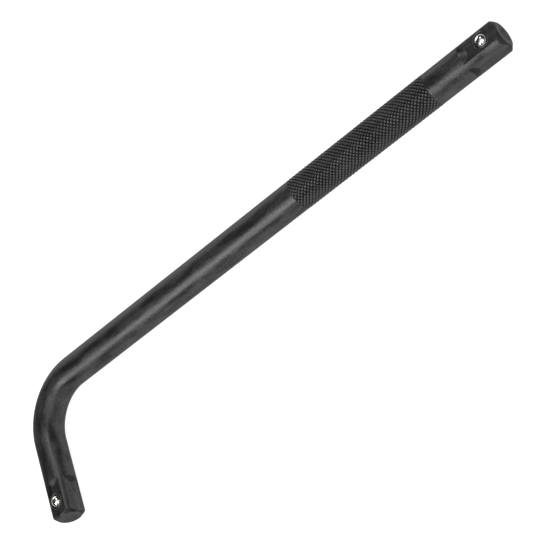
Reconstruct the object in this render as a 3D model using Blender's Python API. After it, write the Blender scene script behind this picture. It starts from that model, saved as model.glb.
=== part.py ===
"""Bent breaker bar: a round steel bar with a square drive on each arm and a spring ball in each drive.

Metres, +Z up. The bar lies flat with both balls facing up. The long arm points along +X and the short
arm along -Y. The origin is under the middle of the bar's bounding box, at the level of its underside.
"""

import math

import bmesh
import bpy
from mathutils import Matrix, Vector

# Driving dimensions
OVERALL_LENGTH = 0.305
OVERALL_WIDTH = 0.0747
BAR_DIAMETER = 0.0156
BEND_RADIUS = 0.026
SQUARE_SIZE = 0.0126
SQUARE_LENGTH = 0.0158
RAMP_LENGTH = 0.0030
CHAMFER_LENGTH = 0.00175
END_FACE_RADIUS = 0.0057
DISH_RADIUS = 0.0041
DISH_DEPTH = 0.0010

BALL_RADIUS = 0.0030
BALL_STAND_OUT = 0.0020
BALL_FROM_END = 0.00805
BORE_RADIUS = 0.00308
BORE_DEPTH = 0.0094
BORE_POINT_ANGLE = math.radians(118)
LIP_RADIUS = 0.00291
LIP_DEPTH = 0.0008

WIRE_RADIUS = 0.0003
COIL_RADIUS = 0.00195
CLOSED_PITCH = 0.00068
ACTIVE_TURNS = 3
REST_GAP = 0.00015

BAR_SEGMENTS = 64
BEND_STEPS = 24
BORE_SEGMENTS = 48
COIL_STEPS = 20

# How far a cutter runs past the surface it cuts
GRINDING_MARGIN = 0.002
BORE_MARGIN = 0.004
# The dish as it is turned, from the rim in: (share of its depth, radius as a share of the ring before)
DISH_STEPS = ((0.35, 0.83), (0.4, 0.68), (0.25, 0.5))

# Derived sizes and places
BAR_RADIUS = BAR_DIAMETER / 2
CORNER = Vector((BAR_RADIUS - OVERALL_LENGTH / 2, OVERALL_WIDTH / 2 - BAR_RADIUS, BAR_RADIUS))
LONG_ARM = OVERALL_LENGTH - BAR_RADIUS
SHORT_ARM = OVERALL_WIDTH - BAR_RADIUS
LONG_DIRECTION = Vector((1, 0, 0))
SHORT_DIRECTION = Vector((0, -1, 0))
UP = Vector((0, 0, 1))
FLAT_HEIGHT = BAR_RADIUS + SQUARE_SIZE / 2
BALL_DEPTH = BALL_RADIUS - BALL_STAND_OUT


def clear_scene():
    for thing in list(bpy.data.objects):
        bpy.data.objects.remove(thing, do_unlink=True)


def steel(name, colour, roughness, metallic):
    """A plain metal surface."""
    material = bpy.data.materials.new(name)
    material.use_nodes = True
    shader = material.node_tree.nodes["Principled BSDF"]
    shader.inputs["Base Color"].default_value = (*colour, 1.0)
    shader.inputs["Roughness"].default_value = roughness
    shader.inputs["Metallic"].default_value = metallic
    material.diffuse_color = (*colour, 1.0)
    return material


def add_object(name, bm, material=None, smooth_below=35):
    """Puts a finished bmesh into the scene, smooth except at edges sharper than the angle."""
    bmesh.ops.recalc_face_normals(bm, faces=bm.faces)
    mesh = bpy.data.meshes.new(name)
    bm.to_mesh(mesh)
    bm.free()
    mesh.shade_smooth()
    mesh.set_sharp_from_angle(angle=math.radians(smooth_below))
    thing = bpy.data.objects.new(name, mesh)
    bpy.context.scene.collection.objects.link(thing)
    if material:
        mesh.materials.append(material)
    return thing


def add_helper(name, bm):
    """A cutter: it shapes other pieces and is no piece itself."""
    helper = add_object(name, bm)
    helper.hide_render = True
    helper.display_type = "WIRE"
    return helper


def subtract(body, cutter):
    cut = body.modifiers.new("cut " + cutter.name, "BOOLEAN")
    cut.operation = "DIFFERENCE"
    cut.solver = "EXACT"
    cut.object = cutter


def drive_frame(direction, arm):
    """Local axes of a drive: +Z out of its end face, +X up through the flat with the ball."""
    side = direction.cross(UP)
    turn = Matrix((UP, side, direction)).transposed().to_4x4()
    return Matrix.Translation(CORNER + direction * arm) @ turn


def extend(bm, ring, move, centre=None, scale=1.0):
    """Extrudes an open ring of edges along move, then scales it about centre. Returns the new ring."""
    made = bmesh.ops.extrude_edge_only(bm, edges=ring)["geom"]
    verts = [item for item in made if isinstance(item, bmesh.types.BMVert)]
    bmesh.ops.translate(bm, verts=verts, vec=move)
    if centre:
        about = Matrix.Translation(-centre)
        bmesh.ops.scale(bm, verts=verts, vec=Vector((scale,) * 3), space=about)
    return [item for item in made if isinstance(item, bmesh.types.BMEdge) and item.is_boundary]


def finish_arm(bm, ring, direction, arm):
    """Carries a ring from the bend to the end of its arm: straight bar, chamfer, rim and dish."""
    end = CORNER + direction * arm
    ring = extend(bm, ring, direction * (arm - BEND_RADIUS - CHAMFER_LENGTH))
    steps = [(CHAMFER_LENGTH, END_FACE_RADIUS / BAR_RADIUS), (0.0, DISH_RADIUS / END_FACE_RADIUS)]
    steps += [(-DISH_DEPTH * depth, radius) for depth, radius in DISH_STEPS]
    place = end - direction * CHAMFER_LENGTH
    for advance, scale in steps:
        place = place + direction * advance
        ring = extend(bm, ring, direction * advance, place, scale)
    bmesh.ops.edgeloop_fill(bm, edges=ring)


def turned(profile, segments):
    """A closed solid of revolution about +Z from (radius, height) points that start and end on the axis."""
    bm = bmesh.new()
    verts = [bm.verts.new((radius, 0, height)) for radius, height in profile]
    edges = [bm.edges.new(pair) for pair in zip(verts, verts[1:])]
    bmesh.ops.spin(
        bm,
        geom=verts + edges,
        cent=(0, 0, 0),
        axis=(0, 0, 1),
        angle=math.tau,
        steps=segments,
        use_merge=True,
    )
    bmesh.ops.remove_doubles(bm, verts=bm.verts, dist=1e-6)
    return bm


def round_bar(material):
    """The bent bar before its squares are ground: one ring spun round the bend and drawn out both ways."""
    bm = bmesh.new()
    start = CORNER + LONG_DIRECTION * BEND_RADIUS
    facing = Matrix.Translation(start) @ Matrix.Rotation(math.pi / 2, 4, "Y")
    bmesh.ops.create_circle(bm, segments=BAR_SEGMENTS, radius=BAR_RADIUS, matrix=facing)
    first = list(bm.edges)
    bend_centre = start + SHORT_DIRECTION * BEND_RADIUS
    spun = bmesh.ops.spin(
        bm, geom=first, cent=bend_centre, axis=UP, angle=math.pi / 2, steps=BEND_STEPS
    )
    last = [item for item in spun["geom_last"] if isinstance(item, bmesh.types.BMEdge)]
    finish_arm(bm, first, LONG_DIRECTION, LONG_ARM)
    finish_arm(bm, last, SHORT_DIRECTION, SHORT_ARM)
    bmesh.ops.remove_doubles(bm, verts=bm.verts, dist=1e-6)
    return add_object("handle_bar", bm, material, smooth_below=15)


def grinding_cutter(name, frame):
    """What grinding takes off one drive: everything outside a square that meets the bar in a cone."""
    reach = BAR_DIAMETER
    ramp_start = SQUARE_LENGTH + RAMP_LENGTH
    slope = (BAR_RADIUS - SQUARE_SIZE / 2) / RAMP_LENGTH
    low = -ramp_start - GRINDING_MARGIN / 2
    high = GRINDING_MARGIN
    bm = bmesh.new()
    bmesh.ops.create_cube(bm, size=1)
    bmesh.ops.scale(bm, vec=(2 * reach, 2 * reach, high - low), verts=bm.verts)
    bmesh.ops.translate(bm, vec=(0, 0, (low + high) / 2), verts=bm.verts)
    cutter = add_helper(name, bm)

    tip_radius = SQUARE_SIZE / 4
    cone_low = -ramp_start - GRINDING_MARGIN
    cone_high = -ramp_start + (BAR_RADIUS - tip_radius) / slope
    bm = bmesh.new()
    bmesh.ops.create_cone(
        bm,
        cap_ends=True,
        segments=BAR_SEGMENTS,
        radius1=BAR_RADIUS + slope * GRINDING_MARGIN,
        radius2=tip_radius,
        depth=cone_high - cone_low,
        matrix=Matrix.Translation((0, 0, (cone_low + cone_high) / 2)),
    )
    cone = add_helper(name + "_cone", bm)

    bm = bmesh.new()
    bmesh.ops.create_cube(bm, size=1)
    length = high - low + 2 * GRINDING_MARGIN
    bmesh.ops.scale(bm, vec=(SQUARE_SIZE, SQUARE_SIZE, length), verts=bm.verts)
    bmesh.ops.translate(bm, vec=(0, 0, (low + high) / 2), verts=bm.verts)
    square = add_helper(name + "_square", bm)

    for helper in (cutter, cone, square):
        helper.matrix_world = frame
    subtract(cutter, cone)
    subtract(cutter, square)
    return cutter


def bore_cutter(name, place):
    """The blind drilled hole for a ball and its spring, with the mouth closed in to keep the ball."""
    point = BORE_RADIUS / math.tan(BORE_POINT_ANGLE / 2)
    profile = (
        (0, BORE_MARGIN),
        (LIP_RADIUS, BORE_MARGIN),
        (LIP_RADIUS, 0),
        (BORE_RADIUS, -LIP_DEPTH),
        (BORE_RADIUS, -BORE_DEPTH),
        (0, -BORE_DEPTH - point),
    )
    cutter = add_helper(name, turned(profile, BORE_SEGMENTS))
    cutter.location = place
    return cutter


def add_ball(name, place, material):
    """The ball, with its origin at its centre, which is on the line it is pressed along."""
    bm = bmesh.new()
    bmesh.ops.create_icosphere(bm, subdivisions=4, radius=BALL_RADIUS)
    ball = add_object(name, bm, material, smooth_below=90)
    ball.location = place - UP * BALL_DEPTH
    return ball


def coil_height(turns, active_pitch):
    """Height of the wire's centre after a number of turns, with one closed turn at each end."""
    if turns < 1:
        return turns * CLOSED_PITCH
    if turns < 1 + ACTIVE_TURNS:
        return CLOSED_PITCH + (turns - 1) * active_pitch
    return CLOSED_PITCH + ACTIVE_TURNS * active_pitch + (turns - 1 - ACTIVE_TURNS) * CLOSED_PITCH


def add_spring(name, place, material):
    """The coil spring between the floor of the bore and the underside of the ball."""
    low = -BORE_DEPTH + REST_GAP + WIRE_RADIUS
    touch = BALL_RADIUS + WIRE_RADIUS + REST_GAP
    high = -BALL_DEPTH - math.sqrt(touch**2 - COIL_RADIUS**2)
    active_pitch = (high - low - 2 * CLOSED_PITCH) / ACTIVE_TURNS
    curve = bpy.data.curves.new(name, "CURVE")
    curve.dimensions = "3D"
    curve.bevel_depth = WIRE_RADIUS
    curve.bevel_resolution = 2
    curve.use_fill_caps = True
    curve.materials.append(material)
    count = (ACTIVE_TURNS + 2) * COIL_STEPS + 1
    spline = curve.splines.new("POLY")
    spline.points.add(count - 1)
    for index, point in enumerate(spline.points):
        turns = index / COIL_STEPS
        angle = math.tau * turns
        height = low + coil_height(turns, active_pitch)
        point.co = (COIL_RADIUS * math.cos(angle), COIL_RADIUS * math.sin(angle), height, 1)
    spline.use_smooth = True
    spring = bpy.data.objects.new(name, curve)
    spring.location = place
    bpy.context.scene.collection.objects.link(spring)
    return spring


clear_scene()
black_steel = steel("black_phosphate_steel", (0.042, 0.042, 0.044), 0.5, 0.7)
ball_steel = steel("polished_ball_steel", (0.72, 0.71, 0.68), 0.12, 1.0)
spring_steel = steel("spring_wire", (0.30, 0.30, 0.31), 0.35, 1.0)

bar = round_bar(black_steel)
for drive, direction, arm in (
    ("long_drive", LONG_DIRECTION, LONG_ARM),
    ("short_drive", SHORT_DIRECTION, SHORT_ARM),
):
    ball_mouth = CORNER + direction * (arm - BALL_FROM_END)
    ball_mouth.z = FLAT_HEIGHT
    subtract(bar, grinding_cutter(drive + "_grinding", drive_frame(direction, arm)))
    subtract(bar, bore_cutter(drive + "_bore", ball_mouth))
    add_ball(drive + "_ball", ball_mouth, ball_steel)
    add_spring(drive + "_spring", ball_mouth, spring_steel)
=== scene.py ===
"""Looks of the bent breaker bar: black steel with a square drive and a sprung ball at each end."""

import math

import bmesh
import bpy
import numpy as np
from mathutils import Matrix, Vector


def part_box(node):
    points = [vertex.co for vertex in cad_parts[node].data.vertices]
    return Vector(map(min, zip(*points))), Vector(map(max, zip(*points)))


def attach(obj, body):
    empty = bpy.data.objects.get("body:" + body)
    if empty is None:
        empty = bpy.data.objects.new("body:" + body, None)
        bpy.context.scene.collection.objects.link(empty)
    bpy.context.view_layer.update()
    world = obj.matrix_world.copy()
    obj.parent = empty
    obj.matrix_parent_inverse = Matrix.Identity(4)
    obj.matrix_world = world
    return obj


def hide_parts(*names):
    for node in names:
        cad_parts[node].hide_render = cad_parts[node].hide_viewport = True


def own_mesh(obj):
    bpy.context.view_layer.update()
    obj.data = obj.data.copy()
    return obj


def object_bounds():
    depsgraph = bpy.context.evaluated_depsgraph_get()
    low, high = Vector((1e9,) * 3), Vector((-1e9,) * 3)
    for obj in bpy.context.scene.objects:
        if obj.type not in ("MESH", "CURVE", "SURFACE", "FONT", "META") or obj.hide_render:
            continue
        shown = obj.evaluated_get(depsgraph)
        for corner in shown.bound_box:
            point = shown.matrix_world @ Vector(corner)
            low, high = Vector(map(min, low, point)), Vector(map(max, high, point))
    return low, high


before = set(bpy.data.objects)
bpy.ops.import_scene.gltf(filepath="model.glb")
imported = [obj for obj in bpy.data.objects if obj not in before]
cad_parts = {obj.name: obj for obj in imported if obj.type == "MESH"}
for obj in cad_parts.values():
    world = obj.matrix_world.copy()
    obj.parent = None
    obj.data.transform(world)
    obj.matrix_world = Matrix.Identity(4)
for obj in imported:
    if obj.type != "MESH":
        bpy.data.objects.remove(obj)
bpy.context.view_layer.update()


# Handle bar
# One round bar of alloy tool steel, bent to a right angle, with a square drive ground on each end
# and a grip knurled into the long arm by two crossed rolls. The whole bar is phosphated black and
# oiled.

bar_low, bar_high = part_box("handle_bar")
bar_radius = (bar_high.z - bar_low.z) / 2
bar_corner = Vector((bar_low.x + bar_radius, bar_high.y - bar_radius, bar_low.z + bar_radius))
long_arm = bar_high.x - bar_corner.x
short_arm = bar_corner.y - bar_low.y
bend_radius = 0.026
bar_length = long_arm + short_arm - (2 - math.pi / 2) * bend_radius

half_square = 0.0063
ramp_start = 0.0188  # from the end face to where the ramps run out on the round bar
ramp_length = 0.0030
ground_edge = 0.00015  # how far grinding and tumbling have rounded the edges of the square

knurl_from_end = 0.0380
knurl_starts = 24
knurl_pitch = 0.00194
knurl_diamonds = 40.5
knurl_length = knurl_diamonds * knurl_pitch
knurl_groove = 0.67  # the width of a groove, as a share of the spacing of the grooves
knurl_raise = 0.00010  # how far the rolls push the diamonds up out of the bar
knurl_depth = 0.00048  # of a groove, from the tops of the diamonds
knurl_run_out = 0.0003  # the rolls' rounded edges end the band over this length

# The end of an arm as turned: (distance from the end face, radius), over the dish, the rim
# and the chamfer, which then widens to the full bar.
rim_radius = 0.0058
chamfer_start = 0.00012
chamfer_widening = 1.2
end_profile = [
    (0.00100, 0.0005),
    (0.00097, 0.0011),
    (0.00089, 0.0017),
    (0.00074, 0.0023),
    (0.00054, 0.0029),
    (0.00030, 0.0034),
    (0.00009, 0.0038),
    (0.00002, 0.0040),
    (0.0, 0.0042),
    (0.0, 0.0048),
    (0.0, 0.0054),
    (0.00003, 0.0056),
    (chamfer_start, rim_radius),
]
end_profile += [
    (d, rim_radius + chamfer_widening * (d - chamfer_start))
    for d in np.arange(0.00027, 0.0017, 0.00015)
]
end_profile += [(0.00180, 0.00776), (0.00200, bar_radius)]


def linear(colour):
    """A colour written as an sRGB hex value, in the linear values that Blender mixes."""
    channels = [int(colour[i : i + 2], 16) / 255 for i in (1, 3, 5)]
    return [c / 12.92 if c <= 0.04045 else ((c + 0.055) / 1.055) ** 2.4 for c in channels] + [1]


def add(tree, kind, feeds=(), **settings):
    """Adds a node with its settings. Each feed, by input number or name, is linked if it is
    a node or a socket, and is set as the input's value if not."""
    node = tree.nodes.new(kind)
    for name, value in settings.items():
        setattr(node, name, value)
    for key, feed in feeds.items() if isinstance(feeds, dict) else enumerate(feeds):
        if isinstance(feed, bpy.types.Node):
            feed = feed.outputs[0]
        if isinstance(feed, bpy.types.NodeSocket):
            tree.links.new(feed, node.inputs[key])
        elif feed is not None:
            node.inputs[key].default_value = feed
    return node


def surface(name, colour):
    """A new material of one colour, with its tree and its shader, which the lines after fill in."""
    material = bpy.data.materials.new(name)
    material.use_nodes = True
    tree = material.node_tree
    shader = tree.nodes["Principled BSDF"]
    shader.inputs["Base Color"].default_value = linear(colour)
    material.diffuse_color = linear(colour)
    return material, tree, shader


# Manganese phosphate on steel: a felt of tiny crystals that scatters light, over metal that
# still gleams. It is near black, matt and slightly cloudy, with painted shade darkening it in the
# knurl grooves and on the side ramps and chamfers, and it rubs through to grey on the tips of the
# knurl.
phosphate, tree, shader = surface("black phosphate on tool steel", "#3a3a3a")
place = add(tree, "ShaderNodeTexCoord").outputs["Object"]
straight = add(tree, "ShaderNodeAttribute", attribute_name="straight").outputs["Vector"]
drawn = add(tree, "ShaderNodeVectorMath", [straight, (0.25, 1, 1)], operation="MULTIPLY")
# The coat's clouds are about 3 mm across the bar and, as the steel is drawn, 13 mm along it.
cloud = add(
    tree, "ShaderNodeTexNoise",
    {"Vector": drawn, "Scale": 300, "Detail": 4, "Distortion": 0.3},
)
# Phosphate crystals are about 0.01 mm across. They are drawn at 0.7 mm, which is as fine as shows.
crystal = add(
    tree, "ShaderNodeTexNoise",
    {"Vector": place, "Scale": 1500, "Detail": 3, "Roughness": 0.7},
)
cloud_low, cloud_high = 0.38, 0.62  # noise seldom leaves this range
tone = add(tree, "ShaderNodeMix", [0.5], data_type="FLOAT")
tree.links.new(cloud.outputs[0], tone.inputs[2])
tree.links.new(crystal.outputs[0], tone.inputs[3])
coat = add(tree, "ShaderNodeValToRGB", {"Fac": tone})
for end, noise, colour in ((0, cloud_low, "#2c2c2c"), (1, cloud_high, "#515151")):
    coat.color_ramp.elements[end].position = noise
    coat.color_ramp.elements[end].color = linear(colour)
worn = add(tree, "ShaderNodeAttribute", attribute_name="worn")
painted_shade = add(tree, "ShaderNodeAttribute", attribute_name="painted_shade")
most_worn, deepest_painted_shade = 0.25, 0.6
rubbed = add(tree, "ShaderNodeMath", [worn.outputs["Fac"], most_worn], operation="MULTIPLY")
skin = add(tree, "ShaderNodeMix", {0: rubbed}, data_type="RGBA")
tree.links.new(coat.outputs[0], skin.inputs[6])
skin.inputs[7].default_value = linear("#8c8c8a")
# Painted shade: the base colour is darkened by up to 60% in the knurl grooves and on the
# sideways-facing ramps and chamfers, where the attribute read above is set.
shade = add(
    tree, "ShaderNodeMath", [painted_shade.outputs["Fac"], -deepest_painted_shade, 1], operation="MULTIPLY_ADD"
)
shaded = add(
    tree, "ShaderNodeVectorMath", {0: skin.outputs[2], "Scale": shade}, operation="SCALE"
)
tree.links.new(shaded.outputs[0], shader.inputs["Base Color"])
gloss = add(tree, "ShaderNodeMapRange", [cloud, cloud_low, cloud_high, 0.36, 0.48])
tree.links.new(gloss.outputs[0], shader.inputs["Roughness"])
crystal_height = 0.00007
grain = add(
    tree, "ShaderNodeBump", {"Strength": 0.5, "Distance": crystal_height, "Height": crystal}
)
tree.links.new(grain.outputs[0], shader.inputs["Normal"])
shader.inputs["Metallic"].default_value = 0.75
shader.inputs["Specular Tint"].default_value = linear("#b8b8b8")

# The blank is a sheet of rings from the long arm's end face to the short arm's. Each point holds
# its distance along the bar, its angle round it, with 0 on top, and the radius turned there.
# A row is (distance, radius, how far its points crowd to the edges of the squares, from 0 to 1).
diamond_points = 8  # across a diamond and along it
points_round = diamond_points * knurl_starts
rows = [(distance, radius, 1.0) for distance, radius in end_profile]
drive_rows = np.arange(0.0024, ramp_start + 0.0008, 0.00041)
rows += [(d, bar_radius, 1.0) for d in drive_rows]
before_knurl, after_bend = 0.0285, 0.008  # where the points are half way between even and crowded
rows.append((before_knurl, bar_radius, 0.5))
knurl_row = len(rows) + 1
knurl_step = knurl_pitch / diamond_points
knurl_rows = round(knurl_diamonds * diamond_points)
rows += [(knurl_from_end + i * knurl_step, bar_radius, 0.0) for i in range(-1, knurl_rows + 2)]
bend_start = long_arm - bend_radius
bend_end = bend_start + math.pi / 2 * bend_radius
knurl_end = knurl_from_end + knurl_length
rows += [(d, bar_radius, 0.0) for d in np.linspace(knurl_end, bend_start, 9)[1:]]
rows += [(d, bar_radius, 0.0) for d in np.linspace(bend_start, bend_end, 33)[1:]]
rows.append((bend_end + after_bend, bar_radius, 0.5))
rows += [(bar_length - d, bar_radius, 1.0) for d in drive_rows[::-1]]
rows += [(bar_length - d, radius, 1.0) for d, radius in end_profile[::-1]]

even = np.arange(points_round) * math.tau / points_round
quarter = np.round(even / (math.pi / 2)) * (math.pi / 2)
# On the squares the points crowd to the two edges of each flat, 36 degrees either side of its
# middle.
edges = np.radians([0, 33.75, 39.375, 45]), np.radians([0, 35.0, 37.3, 45])
crowded = quarter + np.sign(even - quarter) * np.interp(abs(even - quarter), *edges)
points = []
for distance, radius, crowding in rows:
    for angle in even + crowding * (crowded - even):
        points.append((distance, angle, radius))
first_pole = len(points)
points.append((end_profile[0][0], 0, 0))
points.append((bar_length - end_profile[0][0], 0, 0))

# Each square of the sheet is split along the knurl groove that crosses it, so that both sets
# of grooves are crisp.
faces = []
for row in range(len(rows) - 1):
    for i in range(points_round):
        j = (i + 1) % points_round
        a, b = row * points_round + i, row * points_round + j
        c, d = b + points_round, a + points_round
        if (i + row - knurl_row + 1) % diamond_points == 0:
            faces += [(a, b, d), (b, c, d)]
        else:
            faces += [(a, b, c), (a, c, d)]
last_row = (len(rows) - 1) * points_round
last_pole = first_pole + 1
for i in range(points_round):
    j = (i + 1) % points_round
    faces.append((first_pole, j, i))
    faces.append((last_pole, last_row + i, last_row + j))
blank = bpy.data.meshes.new("handle_bar_blank")
blank.from_pydata(points, [], faces)

# The tree lays the blank along the bent path, grinds the squares and rolls the knurl.
tree = bpy.data.node_groups.new("handle bar from blank", "GeometryNodeTree")
tree.interface.new_socket("Blank", in_out="INPUT", socket_type="NodeSocketGeometry")
tree.interface.new_socket("Bar", in_out="OUTPUT", socket_type="NodeSocketGeometry")
handle_sizes = {
    "Corner": bar_corner,
    "Long end": bar_corner + Vector((long_arm, 0, 0)),
    "Short end": bar_corner - Vector((0, short_arm, 0)),
    "Bend radius": bend_radius,
    "Bar radius": bar_radius,
    "Half square": half_square,
    "Ramp start": ramp_start,
    "Ramp length": ramp_length,
    "Ground edge": ground_edge,
    "Rim radius": rim_radius,
    "Knurl start": knurl_from_end,
    "Knurl length": knurl_length,
    "Knurl pitch": knurl_pitch,
    "Knurl starts": float(knurl_starts),
    "Knurl groove": knurl_groove,
    "Knurl raise": knurl_raise,
    "Knurl depth": knurl_depth,
    "Knurl run-out": knurl_run_out,
}
for name, value in handle_sizes.items():
    kind = "NodeSocketFloat" if isinstance(value, float) else "NodeSocketVector"
    tree.interface.new_socket(name, in_out="INPUT", socket_type=kind)
tree.interface.new_socket("Finish", in_out="INPUT", socket_type="NodeSocketMaterial")
size = add(tree, "NodeGroupInput").outputs
point = add(tree, "ShaderNodeSeparateXYZ", [add(tree, "GeometryNodeInputPosition")])
along, around, turned_radius = point.outputs

# The path: a line from end to end with its middle point pulled to the corner, and the corner
# rounded.
line = add(
    tree, "GeometryNodeCurvePrimitiveLine", {"Start": size["Long end"], "End": size["Short end"]}
)
three = add(tree, "GeometryNodeResampleCurve", {"Curve": line, "Count": 3})
order = add(tree, "GeometryNodeInputIndex")
middle = add(tree, "ShaderNodeMath", [order, 1, 0.1], operation="COMPARE")
elbow = add(
    tree, "GeometryNodeSetPosition",
    {"Geometry": three, "Selection": middle, "Position": size["Corner"]},
)
path = add(
    tree, "GeometryNodeFilletCurve",
    {"Curve": elbow, "Count": 64, "Radius": size["Bend radius"]}, mode="POLY",
)
spot = add(
    tree, "GeometryNodeSampleCurve", {"Curves": path, "Length": along},
    mode="LENGTH", use_all_curves=True,
)
up = (0, 0, 1)
across = add(tree, "ShaderNodeVectorMath", [spot.outputs["Tangent"], up], operation="CROSS_PRODUCT")
outer_side = add(tree, "ShaderNodeVectorMath", [across], operation="NORMALIZE")

# The squares: whatever stands outside a flat or outside the cone of the ramp is ground away.
whole = add(tree, "GeometryNodeCurveLength", [path])
other_way = add(tree, "ShaderNodeMath", [whole, along], operation="SUBTRACT")
from_end = add(tree, "ShaderNodeMath", [along, other_way], operation="MINIMUM")
cosine = add(tree, "ShaderNodeMath", [around], operation="COSINE")
sine = add(tree, "ShaderNodeMath", [around], operation="SINE")
cosine_size = add(tree, "ShaderNodeMath", [cosine], operation="ABSOLUTE")
sine_size = add(tree, "ShaderNodeMath", [sine], operation="ABSOLUTE")
facing = add(tree, "ShaderNodeMath", [cosine_size, sine_size], operation="MAXIMUM")
flat_radius = add(tree, "ShaderNodeMath", [size["Half square"], facing], operation="DIVIDE")
ramp_rise = add(
    tree, "ShaderNodeMath", [size["Bar radius"], size["Half square"]], operation="SUBTRACT"
)
ramp_slope = add(tree, "ShaderNodeMath", [ramp_rise, size["Ramp length"]], operation="DIVIDE")
past_ramp = add(tree, "ShaderNodeMath", [from_end, size["Ramp start"]], operation="SUBTRACT")
cone_radius = add(
    tree, "ShaderNodeMath", [past_ramp, ramp_slope, size["Bar radius"]], operation="MULTIPLY_ADD"
)
ground = add(
    tree, "ShaderNodeMath", [flat_radius, cone_radius, size["Ground edge"]],
    operation="SMOOTH_MAX",
)
smooth_radius = add(
    tree, "ShaderNodeMath", [turned_radius, ground, size["Ground edge"]],
    operation="SMOOTH_MIN",
)

# The knurl: two sets of grooves, one to each hand, with flat diamonds left between them.
from_knurl = add(tree, "ShaderNodeMath", [along, size["Knurl start"]], operation="SUBTRACT")
lead = add(tree, "ShaderNodeMath", [from_knurl, size["Knurl pitch"]], operation="DIVIDE")
turn = add(tree, "ShaderNodeMath", [around, math.tau], operation="DIVIDE")
start = add(tree, "ShaderNodeMath", [turn, size["Knurl starts"]], operation="MULTIPLY")
right_hand = add(tree, "ShaderNodeMath", [start, lead], operation="ADD")
left_hand = add(tree, "ShaderNodeMath", [start, lead], operation="SUBTRACT")
right_gap = add(tree, "ShaderNodeMath", [right_hand, 0.5], operation="PINGPONG")
left_gap = add(tree, "ShaderNodeMath", [left_hand, 0.5], operation="PINGPONG")
gap = add(tree, "ShaderNodeMath", [right_gap, left_gap], operation="MINIMUM")
half_groove = add(tree, "ShaderNodeMath", [size["Knurl groove"], 0.5], operation="MULTIPLY")
tooth = add(tree, "ShaderNodeMapRange", [gap, 0, half_groove, 0, 1])
below = add(tree, "ShaderNodeMath", [1, tooth], operation="SUBTRACT")
groove = add(tree, "ShaderNodeMath", [below, size["Knurl depth"]], operation="MULTIPLY")
relief = add(tree, "ShaderNodeMath", [size["Knurl raise"], groove], operation="SUBTRACT")
to_knurl_end = add(tree, "ShaderNodeMath", [size["Knurl length"], from_knurl], operation="SUBTRACT")
inside = add(tree, "ShaderNodeMath", [from_knurl, to_knurl_end], operation="MINIMUM")
band = add(tree, "ShaderNodeMapRange", [inside, 0, size["Knurl run-out"], 0, 1])
radius = add(tree, "ShaderNodeMath", [relief, band, smooth_radius], operation="MULTIPLY_ADD")

# The finished place of each point. The tops of the diamonds are worn, and the grooves are marked
# for painted shade.
upward = add(tree, "ShaderNodeVectorMath", {0: up, "Scale": cosine}, operation="SCALE")
sideways = add(tree, "ShaderNodeVectorMath", {0: outer_side, "Scale": sine}, operation="SCALE")
outward = add(tree, "ShaderNodeVectorMath", [upward, sideways], operation="ADD")
place = add(
    tree, "ShaderNodeVectorMath", [outward, (0, 0, 0), spot.outputs["Position"]],
    operation="MULTIPLY_ADD",
)
reach = add(tree, "ShaderNodeCombineXYZ", [radius, radius, radius])
tree.links.new(reach.outputs[0], place.inputs[1])
tips = add(tree, "ShaderNodeMath", [tooth, band], operation="MULTIPLY")
marked = add(
    tree, "GeometryNodeStoreNamedAttribute",
    {"Geometry": size["Blank"], "Name": "worn", "Value": tips}, data_type="FLOAT", domain="POINT",
)
grooves = add(tree, "ShaderNodeMath", [below, band], operation="MULTIPLY")
# Painted shade also goes on the ramps at the sides of the squares and on what the flats leave of
# the end chamfers, stronger where they face sideways and none where they face up.
cut_depth = add(tree, "ShaderNodeMath", [turned_radius, smooth_radius], operation="SUBTRACT")
cut_away = add(tree, "ShaderNodeMapRange", [cut_depth, 0, size["Ground edge"], 0, 1])
over_flat = add(tree, "ShaderNodeMath", [cone_radius, flat_radius], operation="SUBTRACT")
on_cone = add(tree, "ShaderNodeMapRange", [over_flat, 0, size["Ground edge"], 0, 1])
on_ramp = add(tree, "ShaderNodeMath", [cut_away, on_cone], operation="MULTIPLY")
past_rim = add(tree, "ShaderNodeMath", [turned_radius, size["Rim radius"]], operation="SUBTRACT")
under_bar = add(tree, "ShaderNodeMath", [size["Bar radius"], turned_radius], operation="SUBTRACT")
between = add(tree, "ShaderNodeMath", [past_rim, under_bar], operation="MINIMUM")
turned_slope = add(tree, "ShaderNodeMapRange", [between, 0, size["Ground edge"], 0, 1])
left_slope = add(
    tree, "ShaderNodeMath", [turned_slope, cut_away], operation="SUBTRACT", use_clamp=True
)
slopes = add(tree, "ShaderNodeMath", [on_ramp, left_slope], operation="MAXIMUM")
side_slopes = add(tree, "ShaderNodeMath", [slopes, sine_size], operation="MULTIPLY")
painted_shade_places = add(tree, "ShaderNodeMath", [grooves, side_slopes], operation="MAXIMUM")
# Stores the painted shade mask: the knurl grooves and the sideways-facing ramps and chamfers.
shade_marked = add(
    tree, "GeometryNodeStoreNamedAttribute",
    {"Geometry": marked, "Name": "painted_shade", "Value": painted_shade_places}, data_type="FLOAT", domain="POINT",
)
# Each point also keeps its place on the bar before it was bent, for the clouds in the coat.
side = add(tree, "ShaderNodeMath", [sine, radius], operation="MULTIPLY")
rise = add(tree, "ShaderNodeMath", [cosine, radius], operation="MULTIPLY")
unbent = add(tree, "ShaderNodeCombineXYZ", [along, side, rise])
laid = add(
    tree, "GeometryNodeStoreNamedAttribute",
    {"Geometry": shade_marked, "Name": "straight", "Value": unbent},
    data_type="FLOAT_VECTOR", domain="POINT",
)
bent = add(tree, "GeometryNodeSetPosition", {"Geometry": laid, "Position": place})
real = add(tree, "GeometryNodeRealizeInstances", [bent])
finished = add(tree, "GeometryNodeSetMaterial", {"Geometry": real, "Material": size["Finish"]})
add(tree, "NodeGroupOutput", [finished])


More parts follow.
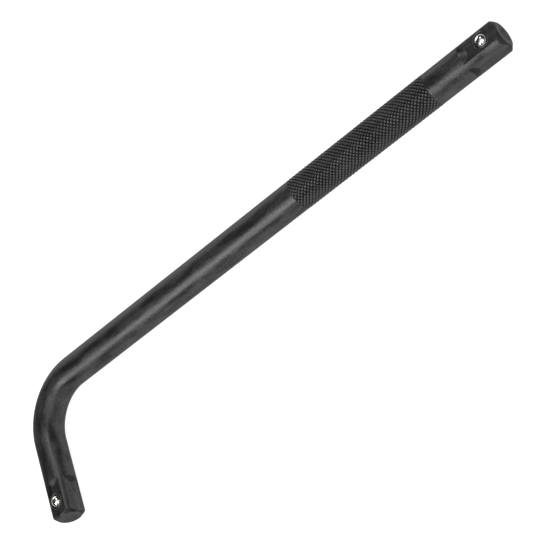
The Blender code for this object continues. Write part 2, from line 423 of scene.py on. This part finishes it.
def grow(name, mesh, tree, sizes, finish):
    """Runs a tree on a mesh and returns the result as a plain mesh object with no modifier."""
    former = bpy.data.objects.new(name + "_former", mesh)
    bpy.context.scene.collection.objects.link(former)
    modifier = former.modifiers.new("shape", "NODES")
    modifier.node_group = tree
    for socket in tree.interface.items_tree:
        if socket.in_out == "INPUT" and socket.name in sizes:
            modifier[socket.identifier] = sizes[socket.name]
        if socket.in_out == "INPUT" and socket.socket_type == "NodeSocketMaterial":
            modifier[socket.identifier] = finish
    evaluated = former.evaluated_get(bpy.context.evaluated_depsgraph_get())
    grown = bpy.data.objects.new(name, bpy.data.meshes.new_from_object(evaluated))
    bpy.data.objects.remove(former)
    bpy.context.scene.collection.objects.link(grown)
    return grown


handle = grow("black_steel_handle_bar", blank, tree, handle_sizes, phosphate)

# The ball is kept in by staking: a ring punch closes the mouth of the drilled hole and leaves a
# groove round it. The cutter is (radius, height above the flat), down through the groove, the lip
# and the hole to the drill's point.
seat_profile = [
    (0.0, 0.002),
    (0.00420, 0.002),
    (0.00420, 0.00002),
    (0.00412, -0.00006),
    (0.00396, -0.00022),
    (0.00374, -0.00030),
    (0.00350, -0.00030),
    (0.00330, -0.00020),
    (0.00320, -0.00007),
    (0.00310, -0.00002),
    (0.00299, -0.00003),
    (0.00293, -0.00010),
    (0.00308, -0.00080),
    (0.00308, -0.00940),
    (0.0, -0.01125),
]
bm = bmesh.new()
for drive in ("long_drive", "short_drive"):
    ball_low, ball_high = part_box(drive + "_ball")
    mouth = (ball_low + ball_high) / 2
    mouth.z = bar_corner.z + half_square
    outline = [bm.verts.new((mouth.x + r, mouth.y, mouth.z + h)) for r, h in seat_profile]
    strands = [bm.edges.new(pair) for pair in zip(outline, outline[1:])]
    bmesh.ops.spin(
        bm,
        geom=outline + strands,
        cent=mouth,
        axis=(0, 0, 1),
        angle=math.tau,
        steps=96,
        use_merge=True,
    )
bmesh.ops.remove_doubles(bm, verts=bm.verts, dist=1e-6)
bmesh.ops.recalc_face_normals(bm, faces=bm.faces)
seat_mesh = bpy.data.meshes.new("ball_seat_cutter")
bm.to_mesh(seat_mesh)
bm.free()
seat_mesh.materials.append(phosphate)
seats = bpy.data.objects.new("ball_seat_cutter", seat_mesh)
bpy.context.scene.collection.objects.link(seats)
cut = handle.modifiers.new("ball seats", "BOOLEAN")
cut.operation = "DIFFERENCE"
cut.solver = "MANIFOLD"
cut.object = seats
evaluated = handle.evaluated_get(bpy.context.evaluated_depsgraph_get())
cut_mesh = bpy.data.meshes.new_from_object(evaluated)
handle.modifiers.clear()
handle.data = cut_mesh
bpy.data.objects.remove(seats)
handle.data.shade_smooth()
sharpest_smooth = math.radians(32)  # corners steeper than this keep a hard edge
handle.data.set_sharp_from_angle(angle=sharpest_smooth)
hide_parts("handle_bar")
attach(handle, "handle")


# Drive balls
# Each is a hardened bearing ball, ground and lapped to a mirror, held in its hole by the staked
# mouth. It has only faint hairlines from the sockets that have slid over it.

bearing, tree, shader = surface("lapped bearing steel", "#d8d6d2")
place = add(tree, "ShaderNodeTexCoord").outputs["Object"]
# The hairlines are hundredths of a millimetre wide. They are drawn as a smear of about 1 mm.
smear = add(tree, "ShaderNodeTexNoise", {"Vector": place, "Scale": 900, "Detail": 3})
gloss = add(tree, "ShaderNodeMapRange", [smear, 0.35, 0.65, 0.10, 0.15])
tree.links.new(gloss.outputs[0], shader.inputs["Roughness"])
shader.inputs["Metallic"].default_value = 1.0
for drive in ("long", "short"):
    ball_low, ball_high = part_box(drive + "_drive_ball")
    bm = bmesh.new()
    bmesh.ops.create_uvsphere(
        bm,
        u_segments=72,
        v_segments=48,
        radius=(ball_high.z - ball_low.z) / 2,
        matrix=Matrix.Translation((ball_low + ball_high) / 2),
    )
    mesh = bpy.data.meshes.new(drive + "_bearing_ball")
    bm.to_mesh(mesh)
    bm.free()
    mesh.shade_smooth()
    mesh.materials.append(bearing)
    ball = bpy.data.objects.new(drive + "_bearing_ball", mesh)
    bpy.context.scene.collection.objects.link(ball)
    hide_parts(drive + "_drive_ball")
    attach(ball, drive + "_ball")


# Ball springs
# Each is a short compression spring of music wire, cold coiled, with its end coils closed and
# ground flat. It stands on the floor of the drilled hole and pushes the ball out.

wire_radius = 0.0003
closed_pitch = 0.00068
active_turns = 3.0
ground_off = 0.0002  # how much of the wire the grinding takes from each end coil
turn_points = 32
wire, tree, shader = surface("cold drawn music wire", "#9a9a9c")
place = add(tree, "ShaderNodeTexCoord").outputs["Object"]
# The die leaves marks a few hundredths of a millimetre wide. They are drawn at 0.3 mm.
lines = add(tree, "ShaderNodeTexNoise", {"Vector": place, "Scale": 3000, "Detail": 2})
gloss = add(tree, "ShaderNodeMapRange", [lines, 0.3, 0.7, 0.28, 0.42])
tree.links.new(gloss.outputs[0], shader.inputs["Roughness"])
shader.inputs["Metallic"].default_value = 1.0

tree = bpy.data.node_groups.new("compression spring", "GeometryNodeTree")
tree.interface.new_socket("Start", in_out="INPUT", socket_type="NodeSocketGeometry")
tree.interface.new_socket("Spring", in_out="OUTPUT", socket_type="NodeSocketGeometry")
tree.interface.new_socket("Foot", in_out="INPUT", socket_type="NodeSocketVector")
for name in (
    "Height", "Ground off", "Wire radius", "Coil radius",
    "Closed pitch", "Active pitch", "Active turns",
):
    tree.interface.new_socket(name, in_out="INPUT", socket_type="NodeSocketFloat")
tree.interface.new_socket("Finish", in_out="INPUT", socket_type="NodeSocketMaterial")
size = add(tree, "NodeGroupInput").outputs
turns = add(tree, "ShaderNodeMath", [size["Active turns"], 2], operation="ADD")
count = add(tree, "ShaderNodeMath", [turns, turn_points, 1], operation="MULTIPLY_ADD")
line = add(tree, "GeometryNodeCurvePrimitiveLine", {"Start": (0, 0, 0), "End": (0, 0, 1)})
points = add(tree, "GeometryNodeResampleCurve", {"Curve": line, "Count": count})
order = add(tree, "GeometryNodeInputIndex")
turn = add(tree, "ShaderNodeMath", [order, turn_points], operation="DIVIDE")
angle = add(tree, "ShaderNodeMath", [turn, math.tau], operation="MULTIPLY")
# The first turn and the last lie closed, and the turns between them rise by the active pitch.
first = add(tree, "ShaderNodeMath", [turn, 1], operation="MINIMUM")
later = add(tree, "ShaderNodeMath", [turn, first], operation="SUBTRACT")
active = add(tree, "ShaderNodeMath", [later, size["Active turns"]], operation="MINIMUM")
rise = add(tree, "ShaderNodeMath", [active, size["Active pitch"]], operation="MULTIPLY")
closed = add(tree, "ShaderNodeMath", [turn, active], operation="SUBTRACT")
height = add(
    tree, "ShaderNodeMath", [closed, size["Closed pitch"], rise], operation="MULTIPLY_ADD"
)
first_height = add(
    tree, "ShaderNodeMath", [size["Wire radius"], size["Ground off"]], operation="SUBTRACT"
)
lifted = add(tree, "ShaderNodeMath", [height, first_height], operation="ADD")
cosine = add(tree, "ShaderNodeMath", [angle], operation="COSINE")
sine = add(tree, "ShaderNodeMath", [angle], operation="SINE")
unit = add(tree, "ShaderNodeCombineXYZ", [cosine, sine, 0])
ring = add(tree, "ShaderNodeVectorMath", {0: unit, "Scale": size["Coil radius"]}, operation="SCALE")
level = add(tree, "ShaderNodeCombineXYZ", [0, 0, lifted])
spot = add(tree, "ShaderNodeVectorMath", [ring, level], operation="ADD")
coil = add(tree, "GeometryNodeSetPosition", {"Geometry": points, "Position": spot})
round_wire = add(
    tree, "GeometryNodeCurvePrimitiveCircle", {"Resolution": 12, "Radius": size["Wire radius"]}
)
tube = add(
    tree, "GeometryNodeCurveToMesh",
    {"Curve": coil, "Profile Curve": round_wire, "Fill Caps": True},
)
# Grinding takes both ends down to flat faces.
shape = add(tree, "ShaderNodeSeparateXYZ", [add(tree, "GeometryNodeInputPosition")])
flattened = add(tree, "ShaderNodeClamp", [shape.outputs[2], 0, size["Height"]])
kept = add(tree, "ShaderNodeCombineXYZ", [shape.outputs[0], shape.outputs[1], flattened])
ground = add(
    tree, "GeometryNodeSetPosition", {"Geometry": tube, "Position": kept, "Offset": size["Foot"]}
)
real = add(tree, "GeometryNodeRealizeInstances", [ground])
finished = add(tree, "GeometryNodeSetMaterial", {"Geometry": real, "Material": size["Finish"]})
add(tree, "NodeGroupOutput", [finished])

for drive in ("long", "short"):
    spring_low, spring_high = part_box(drive + "_drive_spring")
    centre = (spring_low + spring_high) / 2
    height = spring_high.z - spring_low.z
    active_height = height - 2 * (wire_radius - ground_off) - 2 * closed_pitch
    sizes = {
        "Foot": Vector((centre.x, centre.y, spring_low.z)),
        "Height": height,
        "Ground off": ground_off,
        "Wire radius": wire_radius,
        "Coil radius": (spring_high.x - spring_low.x) / 2 - wire_radius,
        "Closed pitch": closed_pitch,
        "Active pitch": active_height / active_turns,
        "Active turns": active_turns,
    }
    start = bpy.data.meshes.new("spring_start")
    spring = grow(drive + "_ball_spring", start, tree, sizes, wire)
    spring.data.shade_smooth()
    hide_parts(drive + "_drive_spring")
    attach(spring, "handle")
    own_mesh(spring)


# Studio floor
# A pale seamless sheet under soft light, with the bar lying flat on the tips of its knurl.
# It glows a steady white and is grey underneath, so that no lamp burns it out or lays a hard
# shadow on it.

floor_reach = 6.0
bm = bmesh.new()
bmesh.ops.create_grid(bm, x_segments=1, y_segments=1, size=floor_reach)
floor_mesh = bpy.data.meshes.new("studio_floor")
bm.to_mesh(floor_mesh)
bm.free()
paper, tree, shader = surface("matt white studio paper", "#8c8c8c")
shader.inputs["Metallic"].default_value = 0.0
shader.inputs["Roughness"].default_value = 0.9
shader.inputs["Emission Color"].default_value = (1, 1, 1, 1)
shader.inputs["Emission Strength"].default_value = 0.95
floor_mesh.materials.append(paper)
floor = bpy.data.objects.new("studio_floor", floor_mesh)
bpy.context.scene.collection.objects.link(floor)
floor.location.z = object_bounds()[0].z


# Studio light
# Two soft lamps give the streak along the bar and light the ramps, and a wide panel stands
# behind it. A panel at the camera and a ring of weak ones round it light the flats and the balls.

azimuth, elevation, roll = math.radians(42.54), math.radians(47.56), math.radians(-71.2)
level_view = Matrix.Rotation(azimuth, 3, "Z") @ Matrix.Rotation(math.pi / 2 - elevation, 3, "X")
ring_angle = math.radians(36)
ring_distance = 1.6
# (name, direction from the bar, distance, width and height in metres, watts)
panels = [
    ("streak_lamp", Vector((-0.456, -0.618, 0.64)), 2.2, 0.45, 1.1, 27),
    ("ramp_lamp", Vector((0.32, 0.52, 0.79)), 2.2, 0.4, 0.4, 12),
    ("back_panel", Vector((-0.45, 0.87, 0.22)), 2.2, 1.6, 1.6, 17),
    ("camera_panel", level_view @ Vector((0, 0, 1)), ring_distance, 1.5, 1.5, 11),
]
towards_camera = Vector((0, 0, math.cos(ring_angle)))
for clock, watts in ((90, 1.6), (30, 0.4), (150, 2.2), (-30, 0.4), (-150, 1.4), (-90, 0.4)):
    turn = Vector((math.cos(math.radians(clock)), math.sin(math.radians(clock)), 0))
    direction = level_view @ (turn * math.sin(ring_angle) + towards_camera)
    panels.append((f"ring_panel_{clock % 360}", direction, ring_distance, 0.98, 1.0, watts))
for name, direction, distance, width, height, watts in panels:
    panel = bpy.data.lights.new(name, "AREA")
    panel.shape = "RECTANGLE"
    panel.size, panel.size_y = width, height
    panel.energy = watts
    lamp = bpy.data.objects.new(name, panel)
    bpy.context.scene.collection.objects.link(lamp)
    lamp.location = distance * direction.normalized()
    lamp.rotation_euler = direction.to_track_quat("Z", "Y").to_euler()
room = bpy.data.worlds.new("studio room")
bpy.context.scene.world = room
room.use_nodes = True
# The walls of the room are dark, so that they leave the bar's dark bands dark. Seen straight on
# they are as white as the floor, so that the floor has no edge in a level view.
tree = room.node_tree
seen = add(tree, "ShaderNodeLightPath").outputs["Is Camera Ray"]
dark_walls, white_walls = 0.05, 1.05
strength = add(tree, "ShaderNodeMapRange", [seen, 0, 1, dark_walls, white_walls])
walls = tree.nodes["Background"]
walls.inputs["Color"].default_value = (1, 1, 1, 1)
tree.links.new(strength.outputs[0], walls.inputs["Strength"])
bpy.context.scene.view_settings.view_transform = "Standard"


# Camera
# It looks down at the bar from in front of the long arm, turned on its side so that the bar
# rises to the right.

camera_from_corner = Vector((0.457286, -0.357155, 0.489791))
lens = bpy.data.cameras.new("studio_camera")
lens.lens = 98.18
lens.sensor_width = 36
lens.shift_x, lens.shift_y = -0.0009, 0.0009
camera = bpy.data.objects.new("studio_camera", lens)
bpy.context.scene.collection.objects.link(camera)
aim = level_view.to_4x4() @ Matrix.Rotation(roll, 4, "Z")
camera.matrix_world = Matrix.Translation(bar_corner + camera_from_corner) @ aim
bpy.context.scene.camera = camera
